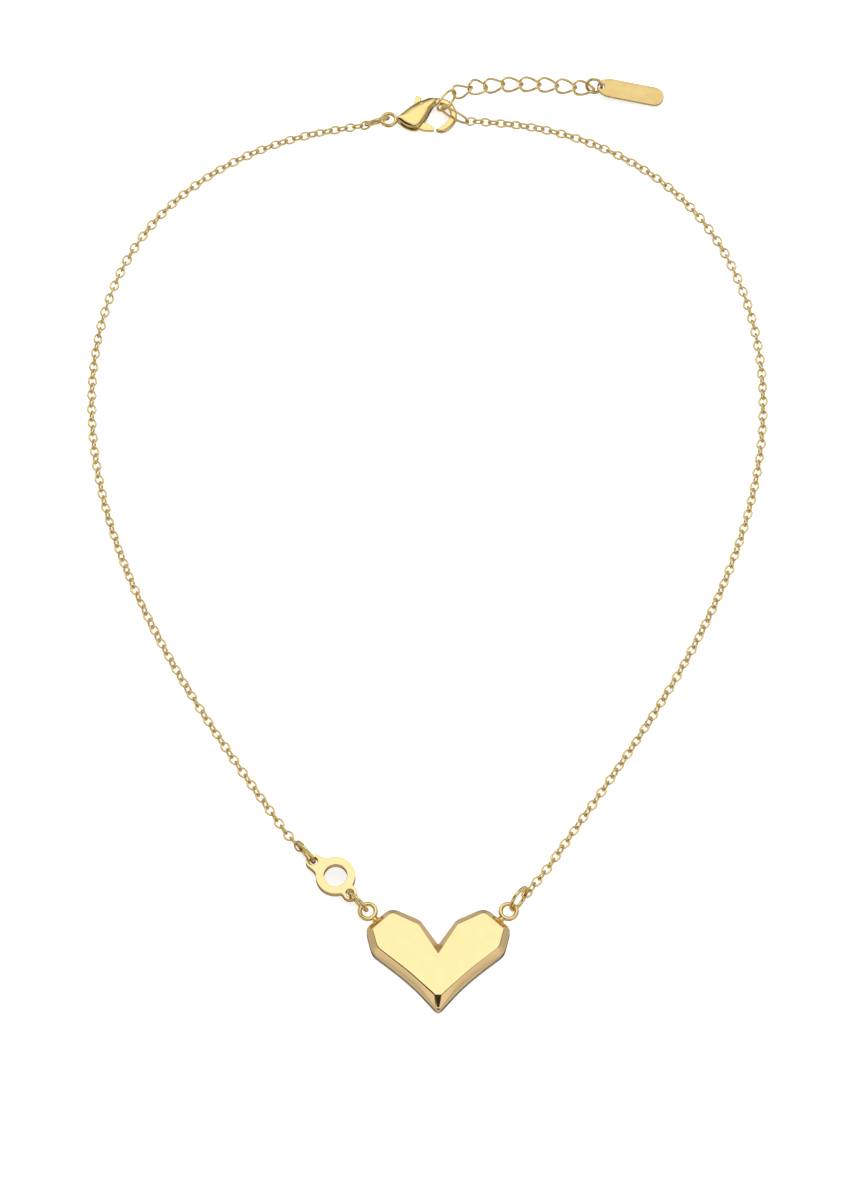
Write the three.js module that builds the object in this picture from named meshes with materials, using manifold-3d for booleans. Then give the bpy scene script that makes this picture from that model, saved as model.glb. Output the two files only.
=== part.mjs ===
// Pendant necklace lying flat: a bevelled heart pendant between two fine cable
// chains, a pierced round connector, round jump rings, a lobster clasp, and a
// curb-link extender that ends in a small blank tag.
// Units are millimetres. +Z is up, +Y runs from the pendant to the clasp.
// The origin is on the flat back of the heart, at the middle of the pendant.
import * as THREE from "three";
import { mergeVertices } from "three/addons/utils/BufferGeometryUtils.js";
import Module from "manifold-3d";

const wasm = await Module();
wasm.setup();

// ---------------------------------------------------------------- dimensions
const HEART_THICK = 2.75; // back to front face
const HEART_WALL = 1.85; // height of the side wall under the bevel
const LOOP = { R: 1.17, r: 0.32, z: 1.6, x: 10.3, y: 7.4 }; // soldered loops
const RING = { R: 1.85, r: 0.28 }; // round jump rings, 4.26 mm outside
const PLATE = { z0: 1.0, thick: 1.15, r: 2.92, open: 1.72, tab: 1.08 }; // connector
const PLATE_HOLES = { upper: [-18.3, 15.12, 0.62], lower: [-12.93, 10.11, 0.6] };
const LINK = { a: 0.8, b: 0.62, r: 0.15 }; // cable chain link, 1.9 x 1.54 x 0.3
const CHAIN_D = 1.5; // envelope of the cable chain
const CHAIN_Z = 0.77; // height of its centre line
const CURB = { a: 1.64, b: 1.15, h: 0.5, r: 0.15 }; // extender links
const CATCH = { a: 2.4475, b: 1.18, r: 0.18 }; // oval end ring
const CLASP = { z: 1.2, shell: 2.2, hook: 0.9, slot: 0.74, lever: 0.6 };
const EYE = { x: -7.78, y: 142.03, R: 1.12, r: 0.28 };
const PIN = { x: -4.35, y: 141.6, r: 0.25, z0: 0.45, z1: 1.95 };
const TAG = { thick: 0.45, len: 10.8, wide: 3.3, roundLeft: 2.3, roundRight: 1.57, hole: 0.5, rise: 5.5 };

// ------------------------------------------------------------------ materials
const gold = new THREE.MeshStandardMaterial({ color: 0xd9b45a, roughness: 0.18, metalness: 1 });
const paleGold = new THREE.MeshStandardMaterial({ color: 0xecc878, roughness: 0.14, metalness: 1 });
const chainGold = new THREE.MeshStandardMaterial({ color: 0xcfa64c, roughness: 0.22, metalness: 1 });
const springSteel = new THREE.MeshStandardMaterial({ color: 0xb9b4a8, roughness: 0.3, metalness: 1 });

const group = new THREE.Group();
function put(name, geometry, material) {
  const mesh = new THREE.Mesh(geometry, material);
  mesh.name = name;
  group.add(mesh);
  return mesh;
}

// -------------------------------------------------------------- solid helpers
function toManifold(geometry) {
  const g = (geometry.index ? geometry.toNonIndexed() : geometry).clone();
  for (const k of Object.keys(g.attributes)) if (k !== "position") g.deleteAttribute(k);
  const m = mergeVertices(g, 1e-4);
  return new wasm.Manifold(
    new wasm.Mesh({
      numProp: 3,
      vertProperties: new Float32Array(m.attributes.position.array),
      triVerts: new Uint32Array(m.index.array),
    }),
  );
}
function toGeometry(solid) {
  const mesh = solid.getMesh();
  const p = new Float32Array(mesh.numVert * 3);
  for (let i = 0; i < mesh.numVert; i++)
    for (let k = 0; k < 3; k++) p[3 * i + k] = mesh.vertProperties[i * mesh.numProp + k];
  const g = new THREE.BufferGeometry();
  g.setAttribute("position", new THREE.BufferAttribute(p, 3));
  g.setIndex(Array.from(mesh.triVerts));
  return g;
}

// A wire of round section bent round a closed centre line. `points` and `out`
// hold the centre line and, at each point, a direction across the wire.
function closedWire(points, out, r, sides) {
  const n = points.length;
  const pos = [];
  for (let i = 0; i < n; i++) {
    const t = points[(i + 1) % n].clone().sub(points[(i + n - 1) % n]).normalize();
    const a = out[i].clone().addScaledVector(t, -out[i].dot(t)).normalize();
    const b = t.clone().cross(a);
    for (let j = 0; j < sides; j++) {
      const q = (2 * Math.PI * (j + 0.5)) / sides;
      const v = points[i].clone().addScaledVector(a, r * Math.cos(q)).addScaledVector(b, r * Math.sin(q));
      pos.push(v.x, v.y, v.z);
    }
  }
  const index = [];
  for (let i = 0; i < n; i++)
    for (let j = 0; j < sides; j++) {
      const a = i * sides + j;
      const b = i * sides + ((j + 1) % sides);
      const c = ((i + 1) % n) * sides + j;
      const d = ((i + 1) % n) * sides + ((j + 1) % sides);
      index.push(a, b, c, b, d, c);
    }
  const g = new THREE.BufferGeometry();
  g.setAttribute("position", new THREE.BufferAttribute(new Float32Array(pos), 3));
  g.setIndex(index);
  const m = toManifold(g);
  if (m.volume() < 0) {
    for (let i = 0; i < index.length; i += 3) [index[i + 1], index[i + 2]] = [index[i + 2], index[i + 1]];
    g.setIndex(index);
  }
  return g;
}

// Frame with x along `u` (in plan), pitched up by `pitch` degrees, then rolled
// by `roll` degrees about that x axis.
function frameOf(u, roll, pitch = 0) {
  const z = new THREE.Vector3(0, 0, 1);
  const h = new THREE.Vector3(u[0], u[1], 0).normalize();
  const m = z.clone().cross(h);
  const p = THREE.MathUtils.degToRad(pitch);
  const x = h.clone().multiplyScalar(Math.cos(p)).addScaledVector(z, Math.sin(p));
  const up = x.clone().cross(m);
  const q = THREE.MathUtils.degToRad(roll);
  const y = m.clone().multiplyScalar(Math.cos(q)).addScaledVector(up, Math.sin(q));
  return { x, y, z: x.clone().cross(y) };
}

// Oval (or round) wire loop: half lengths a and b of its centre line, lift h
// twists it so that its two ends cross the plane at opposite slopes, and taper
// narrows the end at -x.
function wireLoop(c, f, a, b, r, { h = 0, taper = 0, n = 28, sides = 8 } = {}) {
  const pts = [];
  const out = [];
  const centre = new THREE.Vector3(...c);
  for (let i = 0; i < n; i++) {
    const q = (2 * Math.PI * i) / n;
    const w = 1 - taper + taper * Math.cos(q);
    const d = new THREE.Vector3()
      .addScaledVector(f.x, a * Math.cos(q))
      .addScaledVector(f.y, b * Math.sin(q) * w)
      .addScaledVector(f.z, -h * Math.sin(2 * q));
    pts.push(centre.clone().add(d));
    out.push(
      new THREE.Vector3().addScaledVector(f.x, Math.cos(q)).addScaledVector(f.y, Math.sin(q)),
    );
  }
  return closedWire(pts, out, r, sides);
}
function frameOfRotation(x, y, z) {
  const v = new THREE.Vector3(x, y, z);
  const q = new THREE.Quaternion().setFromAxisAngle(v.clone().normalize(), v.length());
  return {
    x: new THREE.Vector3(1, 0, 0).applyQuaternion(q),
    y: new THREE.Vector3(0, 1, 0).applyQuaternion(q),
    z: new THREE.Vector3(0, 0, 1).applyQuaternion(q),
  };
}
// Round jump ring standing nearly upright along u.
function jumpRing(c, u, lean) {
  const z = new THREE.Vector3(0, 0, 1);
  const x = new THREE.Vector3(u[0], u[1], 0).normalize();
  const m = z.clone().cross(x);
  const q = THREE.MathUtils.degToRad(lean);
  const y = z.clone().multiplyScalar(Math.cos(q)).addScaledVector(m, Math.sin(q));
  return wireLoop(c, { x, y, z: x.clone().cross(y) }, RING.R, RING.R, RING.r, { n: 32 });
}

// Closed solid through a stack of outlines that all have the same number of
// points, with flat ends.
function stack(outlines) {
  const n = outlines[0].length;
  const pos = [];
  for (const o of outlines) for (const p of o) pos.push(...p);
  const cap = (k) =>
    THREE.ShapeUtils.triangulateShape(
      outlines[k].map((p) => new THREE.Vector2(p[0], p[1])),
      [],
    );
  const index = [];
  for (const [a, b, c] of cap(0)) index.push(a, c, b);
  const top = (outlines.length - 1) * n;
  for (const [a, b, c] of cap(outlines.length - 1)) index.push(top + a, top + b, top + c);
  for (let k = 0; k + 1 < outlines.length; k++)
    for (let i = 0; i < n; i++) {
      const a = k * n + i;
      const b = k * n + ((i + 1) % n);
      index.push(a, b, b + n, a, b + n, a + n);
    }
  const g = new THREE.BufferGeometry();
  g.setAttribute("position", new THREE.BufferAttribute(new Float32Array(pos), 3));
  g.setIndex(index);
  return g;
}
const at = (outline, z) => outline.map(([x, y]) => [x, y, z]);

// Plate from an outline, with its middle at height z and chamfered edges.
function slab(outline, z, thick, bevel, holes = []) {
  const shape = new THREE.Shape(outline.map(([x, y]) => new THREE.Vector2(x, y)));
  for (const h of holes) shape.holes.push(new THREE.Path(h.map(([x, y]) => new THREE.Vector2(x, y))));
  const g = new THREE.ExtrudeGeometry(shape, {
    depth: thick - 2 * bevel,
    bevelEnabled: bevel > 0,
    bevelThickness: bevel,
    bevelSize: bevel,
    bevelOffset: -bevel,
    bevelSegments: 1,
    steps: 1,
    curveSegments: 12,
  });
  g.translate(0, 0, z - thick / 2 + bevel);
  return g;
}
function circle(x, y, r, n = 24, turn = 1) {
  const p = [];
  for (let i = 0; i < n; i++) {
    const q = (turn * 2 * Math.PI * i) / n;
    p.push([x + r * Math.cos(q), y + r * Math.sin(q)]);
  }
  return p;
}
function pegZ(x, y, r, z0, z1, n = 20) {
  const g = new THREE.CylinderGeometry(r, r, z1 - z0, n);
  g.rotateX(Math.PI / 2);
  g.translate(x, y, (z0 + z1) / 2);
  return g;
}

// ---------------------------------------------------------------------- heart
// Right half of the two outlines, from the notch down to the tip, mirrored.
const face = [
  [0, 0.4], [2.92, 5.05], [6.75, 6.88], [9.59, 4.28], [8.9, 1.68], [8.65, 1.28], [6.6, -0.42], [4.55, -2.08], [2.5, -4.0], [0.52, -5.82],
];
const rim = [
  [0, 2.14], [2.62, 5.95], [6.9, 7.92], [10.6, 4.6], [9.78, 1.31], [9.36, 0.6], [7.2, -1.1], [5.15, -2.78], [3.05, -4.75], [0.06, -7.72],
];
const mirrored = (half) => [
  ...half.slice().reverse().map(([x, y]) => [x, y]),
  ...half.slice(1).map(([x, y]) => [-x, y]),
];
const orient = (o) => (THREE.ShapeUtils.isClockWise(o.map((p) => new THREE.Vector2(...p))) ? o.slice().reverse() : o);
const rimLoop = orient(mirrored(rim));
const faceLoop = orient(mirrored(face));
const footLoop = rimLoop.map(([x, y]) => [x * 0.975, y * 0.975 + 0.02]);
put("heart_body", stack([at(footLoop, 0), at(rimLoop, 0.25), at(rimLoop, HEART_WALL), at(faceLoop, HEART_THICK)]), paleGold);

// Loops with their short soldering stubs, one on each upper slant of the heart.
function heartLoop(side) {
  const c = [side * LOOP.x, LOOP.y, LOOP.z];
  const torus = wireLoop(c, frameOf([1, 0], 0), LOOP.R, LOOP.R, LOOP.r, { n: 32 });
  const slant = new THREE.Vector2(10.6 - 6.9, 4.6 - 7.92).normalize();
  const normal = new THREE.Vector2(-slant.y, slant.x); // outwards, right side
  const reach = (LOOP.x - 6.9) * normal.x + (LOOP.y - 7.92) * normal.y;
  const s0 = 0.03;
  const s1 = reach - LOOP.R + 0.1;
  const base = new THREE.Vector2(LOOP.x, LOOP.y).addScaledVector(normal, -reach);
  const corner = (s, w) => {
    const p = base.clone().addScaledVector(normal, s).addScaledVector(slant, w);
    return [side * p.x, p.y];
  };
  const foot = orient([corner(s0, -0.55), corner(s0, 0.55), corner(s1, 0.42), corner(s1, -0.42)]);
  return toGeometry(toManifold(torus).add(toManifold(slab(foot, LOOP.z, 0.62, 0))));
}
put("heart_loop_left", heartLoop(-1), gold);
put("heart_loop_right", heartLoop(1), gold);

// ----------------------------------------------------- jump rings, connector
put("connector_to_heart_ring", jumpRing([-11.75, 8.8, 2.14], [2.63, -2.71], -8), gold);
put("chain_to_connector_ring", jumpRing([-19.45, 16.46, 2.14], [-0.651, 0.759], 5), gold);
put("heart_to_chain_ring", jumpRing([11.8, 9.17, 2.14], [0.61, 0.79], 8), gold);
put("chain_to_clasp_ring", jumpRing([-9.62, 141.3, 1.98], [0.945, 0.326], -24), gold);

function connector() {
  const z = PLATE.z0 + PLATE.thick / 2;
  const disc = toManifold(slab(circle(-15.05, 12.84, PLATE.r, 48), z, PLATE.thick, 0.1));
  let plate = disc;
  for (const [x, y] of Object.values(PLATE_HOLES))
    plate = plate.add(toManifold(slab(circle(x, y, PLATE.tab, 24), z, PLATE.thick, 0.1)));
  // straight flanks between the upper tab and the disc
  const [hx, hy] = PLATE_HOLES.upper;
  const d = new THREE.Vector2(-15.05 - hx, 12.84 - hy).normalize();
  const w = PLATE.tab - 0.02;
  const neck = orient([
    [hx - d.y * w, hy + d.x * w],
    [hx + d.y * w, hy - d.x * w],
    [hx + d.x * 2.2 + d.y * (w + 0.35), hy + d.y * 2.2 - d.x * (w + 0.35)],
    [hx + d.x * 2.2 - d.y * (w + 0.35), hy + d.y * 2.2 + d.x * (w + 0.35)],
  ]);
  plate = plate.add(toManifold(slab(neck, z, PLATE.thick, 0.1)));
  plate = plate.subtract(toManifold(pegZ(-15.05, 12.84, PLATE.open, -1, 4, 40)));
  for (const [x, y, r] of Object.values(PLATE_HOLES)) plate = plate.subtract(toManifold(pegZ(x, y, r, -1, 4, 24)));
  return toGeometry(plate);
}
put("connector_plate", connector(), paleGold);

// --------------------------------------------------------------- cable chains
// Centre lines in plan, from the pendant end to the clasp end.
const LEFT_ROUTE = [
  [-21.17, 18.9], [-22.2, 19.79], [-24.63, 23.3], [-27.22, 27.1], [-29.77, 30.92], [-32.28, 34.77], [-34.72, 38.66], [-37.09, 42.59],
  [-39.37, 46.58], [-41.55, 50.63], [-43.6, 54.74], [-45.52, 58.91], [-47.28, 63.16], [-48.86, 67.47], [-50.25, 71.85],
  [-51.41, 76.29], [-52.34, 80.79], [-53.0, 85.34], [-53.38, 89.92], [-53.46, 94.51], [-53.23, 99.1], [-52.67, 103.66],
  [-51.74, 108.15], [-50.42, 112.55], [-48.68, 116.8], [-46.49, 120.84], [-43.85, 124.59], [-40.77, 128.0], [-37.33, 131.04],
  [-33.59, 133.71], [-29.6, 135.98], [-25.4, 137.84], [-21.04, 139.29], [-16.57, 140.32], [-13.2, 140.78],
];
const RIGHT_ROUTE = [
  [13.97, 11.36], [16.09, 14.51], [18.74, 18.47], [21.4, 22.43], [24.06, 26.39], [26.68, 30.37], [29.26, 34.38], [31.78, 38.43],
  [34.22, 42.53], [36.57, 46.68], [38.79, 50.9], [40.88, 55.19], [42.81, 59.55], [44.56, 63.98], [46.12, 68.49],
  [47.46, 73.06], [48.57, 77.7], [49.41, 82.39], [49.97, 87.13], [50.22, 91.89], [50.15, 96.66], [49.74, 101.4],
  [48.97, 106.11], [47.81, 110.73], [46.24, 115.23], [44.25, 119.56], [41.79, 123.65], [38.87, 127.42], [35.51, 130.79],
  [31.76, 133.73], [27.71, 136.24], [23.41, 138.3], [18.92, 139.9], [14.29, 141.02], [9.56, 141.66], [6.25, 141.92],
];
function cord(route, steps) {
  const curve = new THREE.CatmullRomCurve3(route.map(([x, y]) => new THREE.Vector3(x, y, CHAIN_Z)));
  const section = new THREE.Shape(
    circle(0, 0, CHAIN_D / 2, 8).map(([x, y]) => new THREE.Vector2(x, y)),
  );
  return new THREE.ExtrudeGeometry(section, { extrudePath: curve, steps, bevelEnabled: false });
}
put("chain_left", cord(LEFT_ROUTE, 38), chainGold);
put("chain_right", cord(RIGHT_ROUTE, 42), chainGold);

function cableLink(c, u, roll, pitch = 0) {
  return wireLoop(c, frameOf(u, roll, pitch), LINK.a, LINK.b, LINK.r, { n: 24 });
}
put("chain_left_lower_link", cableLink([-20.455, 17.807, 1.122], [-0.509, 0.859], -15.8, 3.4), chainGold);
put("chain_left_upper_link", cableLink([-11.489, 141.032, 1.15], [-0.944, -0.299], -7.8, -11.2), chainGold);
put("chain_right_lower_link", cableLink([13.011, 10.408, 1.109], [0.738, 0.673], -10.9, -7.7), chainGold);
put("chain_right_upper_link", cableLink([5.2547, 141.4544, 1.6461], [0.9365, 0.3507], 7.7, 0), chainGold);

// ---------------------------------------------------------------------- clasp
const SHELL = [
  [-6.45, 141.85], [-5.99, 141.4], [-5.28, 140.78], [-4.4, 140.35], [-3.55, 140.25], [-2.9, 140.52], [-2.4, 141.2], [-1.85, 142.1],
  [-1.35, 143.2], [-0.9, 143.95], [-0.7, 144.5], [-0.65, 145.6], [-1.43, 145.52], [-2.18, 145.33], [-2.96, 145.02], [-3.72, 144.55],
  [-4.47, 144.0], [-5.36, 143.2], [-6.1, 142.5], [-6.48, 142.2],
];
const HOOK = [
  [-1.4, 144.35], [-1.4, 145.86], [-0.74, 145.95], [0.533, 145.843], [1.33, 145.658], [2.0, 145.268], [2.445, 144.73], [2.762, 144.119],
  [3.0, 143.452], [3.062, 142.805], [2.965, 141.973], [2.677, 141.235], [2.071, 140.405], [1.243, 139.778], [0.48, 139.594],
  [-0.235, 139.815], [-0.235, 140.146], [0.624, 140.626], [1.35, 141.35], [1.88, 142.1], [2.0, 142.5], [2.04, 143.0], [1.98, 143.4],
  [1.8, 143.85], [1.55, 144.25], [1.12, 144.6], [0.62, 144.77], [0.1, 144.8], [-0.7, 144.62],
];
const SLOT = [
  [-5.95, 139.0], [-1.6, 139.0], [-1.7, 142.6], [-2.45, 142.8], [-2.4, 144.4], [-2.25, 147.0], [-5.9, 147.0], [-5.9, 143.0],
];
const LEVER = [
  [-5.35, 141.62], [-4.95, 141.2], [-4.35, 141.02], [-3.6, 140.75], [-2.95, 140.3], [-2.17, 139.95], [-0.75, 139.85], [-0.6, 140.15],
  [-0.7, 140.45], [-1.22, 140.85], [-2.03, 141.25], [-2.9, 141.75], [-3.2, 142.4], [-3.15, 143.5], [-2.85, 144.8], [-2.65, 145.9],
  [-2.8, 146.3], [-3.2, 146.35], [-3.55, 146.0], [-3.75, 145.0], [-4.05, 143.6], [-4.55, 142.5], [-5.2, 141.95],
];
function claspBody() {
  const shell = toManifold(slab(orient(SHELL), CLASP.z, CLASP.shell, 0.3));
  const slot = toManifold(slab(orient(SLOT), CLASP.z, CLASP.slot, 0));
  const bore = toManifold(pegZ(PIN.x, PIN.y, PIN.r + 0.03, PIN.z0 - 0.03, PIN.z1 + 0.03));
  const hook = toManifold(slab(orient(HOOK), CLASP.z, CLASP.hook, 0.15));
  const eye = toManifold(wireLoop([EYE.x, EYE.y, CLASP.z], frameOf([1, 0], 0), EYE.R, EYE.R, EYE.r, { n: 28 }));
  return toGeometry(shell.subtract(slot).subtract(bore).add(hook).add(eye));
}
put("clasp_body", claspBody(), gold);
function claspLever() {
  const blade = toManifold(slab(orient(LEVER), CLASP.z, CLASP.lever, 0.08));
  return toGeometry(blade.subtract(toManifold(pegZ(PIN.x, PIN.y, PIN.r + 0.05, -2, 5))));
}
put("clasp_lever", claspLever(), gold);
put("clasp_pin", pegZ(PIN.x, PIN.y, PIN.r, PIN.z0, PIN.z1), gold);
// Hairpin return spring, lying in the slot behind the lever.
function hairpin() {
  const leg = slab(
    orient([[-5.6, 141.95], [-5.45, 141.85], [-5.0, 142.95], [-4.86, 143.3], [-4.98, 143.38], [-5.15, 143.1]]),
    CLASP.z, 0.22, 0,
  );
  return leg;
}
put("clasp_spring", hairpin(), springSteel);

// ----------------------------------------------------------- extender links
put("catch_ring", jumpRingOval(), gold);
function jumpRingOval() {
  const z = new THREE.Vector3(0, 0, 1);
  const x = new THREE.Vector3(0.8598, -0.5107, 0).normalize();
  const m = z.clone().cross(x);
  const q = THREE.MathUtils.degToRad(1.8);
  const y = z.clone().multiplyScalar(Math.cos(q)).addScaledVector(m, Math.sin(q));
  return wireLoop([2.7336, 142.5941, 1.6412], { x, y, z: x.clone().cross(y) }, CATCH.a, CATCH.b, CATCH.r, { n: 28 });
}
put(
  "extender_link_1",
  wireLoop([1.4217, 144.5756, 2.8948], frameOfRotation(1.0631, 0.4606, 0.7945), 2.0861, 1.1801, CURB.r, { taper: 0.0183 }),
  gold,
);
const curb = (c, f) => wireLoop(c, f, CURB.a, CURB.b, CURB.r, { h: CURB.h });
put("extender_link_2", curb([3.9126, 146.5666, 2.6694], frameOfRotation(-0.2017, 0.058, 0.4518)), gold);
put("extender_link_3", curb([6.3188, 147.8753, 1.6591], frameOfRotation(0.267, 0.4405, 0.326)), gold);
put("extender_link_4", curb([9.0358, 148.5991, 0.9466], frameOfRotation(0.0044, 0.0363, 0.2469)), gold);
const RUN = [[11.92, 148.85, 0.76, 0.05], [14.79, 148.89, 0.72, -0.01], [17.66, 148.74, 0.72, -0.06], [20.52, 148.47, 0.72, -0.1], [23.37, 148.14, 0.74, -0.12]];
RUN.forEach(([x, y, z, yaw], i) => put(`extender_link_${i + 5}`, curb([x, y, z], frameOfRotation(0, 0, yaw)), gold));

// ------------------------------------------------------------ tag and its ring
put("tag_ring", wireLoop([24.99, 148.26, 1.28], frameOf([0.995, -0.1], 60), 1.2, 1.2, 0.22, { n: 28 }), gold);
// The tag leans on its ring at the left and touches the table at the right.
function tag() {
  const end = (cx, round) => {
    const p = [];
    for (let i = 0; i <= 10; i++) {
      const a = -Math.PI / 2 + (Math.PI * i) / 10;
      p.push([cx + round * Math.cos(a), (Math.sign(round) * TAG.wide * Math.sin(a)) / 2]);
    }
    return p;
  };
  const outline = [...end(TAG.len - TAG.roundRight, TAG.roundRight), ...end(TAG.roundLeft, -TAG.roundLeft)];
  const g = toGeometry(
    toManifold(slab(orient(outline), TAG.thick / 2, TAG.thick, 0.08)).subtract(
      toManifold(pegZ(0.75, 0, TAG.hole, -1, 3)),
    ),
  );
  g.translate(-TAG.len, 0, 0);
  g.rotateY(THREE.MathUtils.degToRad(TAG.rise));
  g.rotateZ(Math.atan2(-1.636, 9.854));
  g.translate(36.05, 146.5, 0.03);
  return g;
}
put("tag", tag(), paleGold);

export default group;
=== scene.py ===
import math

import bpy
import numpy as np
from mathutils import Matrix, Quaternion, Vector
from mathutils.geometry import tessellate_polygon


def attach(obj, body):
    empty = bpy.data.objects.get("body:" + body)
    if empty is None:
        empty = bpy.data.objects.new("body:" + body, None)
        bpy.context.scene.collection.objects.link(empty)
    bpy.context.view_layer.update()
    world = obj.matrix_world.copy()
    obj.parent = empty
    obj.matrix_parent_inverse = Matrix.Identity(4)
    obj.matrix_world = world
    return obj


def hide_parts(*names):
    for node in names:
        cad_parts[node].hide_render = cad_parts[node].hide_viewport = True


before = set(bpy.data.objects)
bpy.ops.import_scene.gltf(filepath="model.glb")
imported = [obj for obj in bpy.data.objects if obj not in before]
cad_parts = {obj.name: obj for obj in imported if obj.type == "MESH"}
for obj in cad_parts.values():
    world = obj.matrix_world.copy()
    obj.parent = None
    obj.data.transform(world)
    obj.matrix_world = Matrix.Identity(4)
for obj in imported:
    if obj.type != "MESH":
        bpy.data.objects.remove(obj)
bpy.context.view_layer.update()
scene = bpy.context.scene
MM = 0.001
rng = np.random.default_rng(784)

# ------------------------------------------------------------------ camera
cam_data = bpy.data.cameras.new("camera")
cam_data.lens = 135
cam_data.sensor_width = 36
cam_data.sensor_fit = "AUTO"
cam_data.clip_start = 0.01
cam_data.clip_end = 20
camera = bpy.data.objects.new("camera", cam_data)
scene.collection.objects.link(camera)
camera.location = (-0.00090236, -0.22463242, 0.60969797)
camera.rotation_euler = (math.radians(25), 0, 0)
scene.camera = camera
scene.view_settings.view_transform = "Standard"
scene.view_settings.look = "None"
scene.view_settings.exposure = 0
scene.view_settings.gamma = 1


# ------------------------------------------------------------ mesh helpers
class Acc:
    """Vertices in mm and faces of one piece."""

    def __init__(self):
        self.v = []
        self.f = []

    def ring(self, pts):
        i = len(self.v)
        self.v += [tuple(map(float, p)) for p in pts]
        return list(range(i, i + len(pts)))

    def bridge(self, a, b, close=True):
        n = len(a)
        for i in range(n if close else n - 1):
            j = (i + 1) % n
            self.f.append((a[i], a[j], b[j], b[i]))

    def cap(self, a, flip=False):
        self.f.append(tuple(reversed(a)) if flip else tuple(a))

    def cap_holes(self, loops, flip=False):
        """Flat cap through one outer ring and its hole rings."""
        idx = [i for l in loops for i in l]
        tris = tessellate_polygon([[Vector(self.v[i]) for i in l] for l in loops])
        for t in tris:
            p = [Vector(self.v[idx[k]]) for k in t]
            up = (p[1] - p[0]).cross(p[2] - p[0]).z > 0
            t = [idx[k] for k in t]
            if up == flip:
                t.reverse()
            self.f.append(tuple(t))

    def obj(self, name, smooth=True):
        me = bpy.data.meshes.new(name)
        me.from_pydata([(x * MM, y * MM, z * MM) for x, y, z in self.v], [], self.f)
        me.validate()
        me.polygons.foreach_set("use_smooth", [smooth] * len(me.polygons))
        me.update()
        o = bpy.data.objects.new(name, me)
        scene.collection.objects.link(o)
        return o


def unit(v):
    v = np.asarray(v, float)
    return v / np.linalg.norm(v)


def frame_of(u, roll, pitch=0.0):
    z = np.array([0.0, 0, 1])
    h = unit([u[0], u[1], 0])
    m = np.cross(z, h)
    p, q = math.radians(pitch), math.radians(roll)
    x = h * math.cos(p) + z * math.sin(p)
    up = np.cross(x, m)
    y = m * math.cos(q) + up * math.sin(q)
    return x, y, np.cross(x, y)


def frame_along(d, roll):
    """Frame with x along d and y level, rolled about x."""
    x = unit(d)
    m = unit(np.cross([0, 0, 1.0], x))
    up = np.cross(x, m)
    q = math.radians(roll)
    y = m * math.cos(q) + up * math.sin(q)
    return x, y, np.cross(x, y)


def frame_of_rotation(x, y, z):
    v = Vector((x, y, z))
    q = Quaternion(v.normalized(), v.length)
    return tuple(np.array(q @ Vector(e)) for e in ((1, 0, 0), (0, 1, 0), (0, 0, 1)))


def frame_leaning(u, lean):
    z = np.array([0.0, 0, 1])
    x = unit([u[0], u[1], 0])
    m = np.cross(z, x)
    q = math.radians(lean)
    y = z * math.cos(q) + m * math.sin(q)
    return x, y, np.cross(x, y)


def wire(acc, pts, out, r, sides, closed=True, flat=1.0):
    """Wire of round section along pts. `out` is a direction across it, and
    `flat` squeezes the section across the other direction."""
    n = len(pts)
    pts = np.asarray(pts, float)
    radius = np.broadcast_to(np.asarray(r, float), (n,))
    rings = []
    for i in range(n):
        a, b = (i - 1) % n, (i + 1) % n
        if not closed:
            a, b = max(i - 1, 0), min(i + 1, n - 1)
        t = unit(pts[b] - pts[a])
        o = np.asarray(out[i], float)
        o = unit(o - t * o.dot(t))
        w = np.cross(t, o)
        q = 2 * math.pi * (np.arange(sides) + 0.5) / sides
        rings.append(
            acc.ring(pts[i] + radius[i] * (np.outer(np.cos(q), o) + flat * np.outer(np.sin(q), w)))
        )
    for i in range(n if closed else n - 1):
        acc.bridge(rings[i], rings[(i + 1) % n])
    if not closed:
        acc.cap(rings[0], flip=True)
        acc.cap(rings[-1])
    return rings


def loop_points(c, f, a, b, h=0.0, taper=0.0, n=48, start=0.0, gap=0.0, power=1.0):
    """Centre line of an oval wire loop, as in the CAD model."""
    x, y, z = f
    if gap:
        q = np.linspace(start + gap / 2, start + 2 * math.pi - gap / 2, n)
    else:
        q = start + 2 * math.pi * np.arange(n) / n
    w = 1 - taper + taper * np.cos(q)
    pts = (
        np.asarray(c, float)
        + np.outer(a * np.cos(q), x)
        + np.outer(b * np.sin(q) * w, y)
        - np.outer(h * np.sin(2 * q), z)
    )
    out = np.outer(np.cos(q), x) + np.outer(np.sin(q), y)
    return pts, out


def catmull(points, per):
    p = np.asarray(points, float)
    p = np.vstack([2 * p[0] - p[1], p, 2 * p[-1] - p[-2]])
    res = []
    for i in range(1, len(p) - 2):
        for k in range(per):
            t = k / per
            a, b, c, d = p[i - 1], p[i], p[i + 1], p[i + 2]
            res.append(
                0.5 * (2 * b + (c - a) * t + (2 * a - 5 * b + 4 * c - d) * t * t + (3 * b - a - 3 * c + d) * t**3)
            )
    res.append(p[-2])
    return np.array(res)


def along(path, s):
    """Points at the given arc lengths."""
    d = np.concatenate([[0], np.cumsum(np.linalg.norm(np.diff(path, axis=0), axis=1))])
    return np.stack([np.interp(s, d, path[:, k]) for k in range(path.shape[1])], 1)


def length_of(path):
    return float(np.linalg.norm(np.diff(path, axis=0), axis=1).sum())


def normals_2d(p):
    """Outward normals of a closed anticlockwise outline."""
    t = np.roll(p, -1, 0) - np.roll(p, 1, 0)
    t /= np.linalg.norm(t, axis=1)[:, None]
    return np.stack([t[:, 1], -t[:, 0]], 1)


def ccw(p):
    p = np.asarray(p, float)
    x, y = p[:, 0], p[:, 1]
    area = (x * np.roll(y, -1) - y * np.roll(x, -1)).sum()
    return p if area > 0 else p[::-1].copy()


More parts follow.
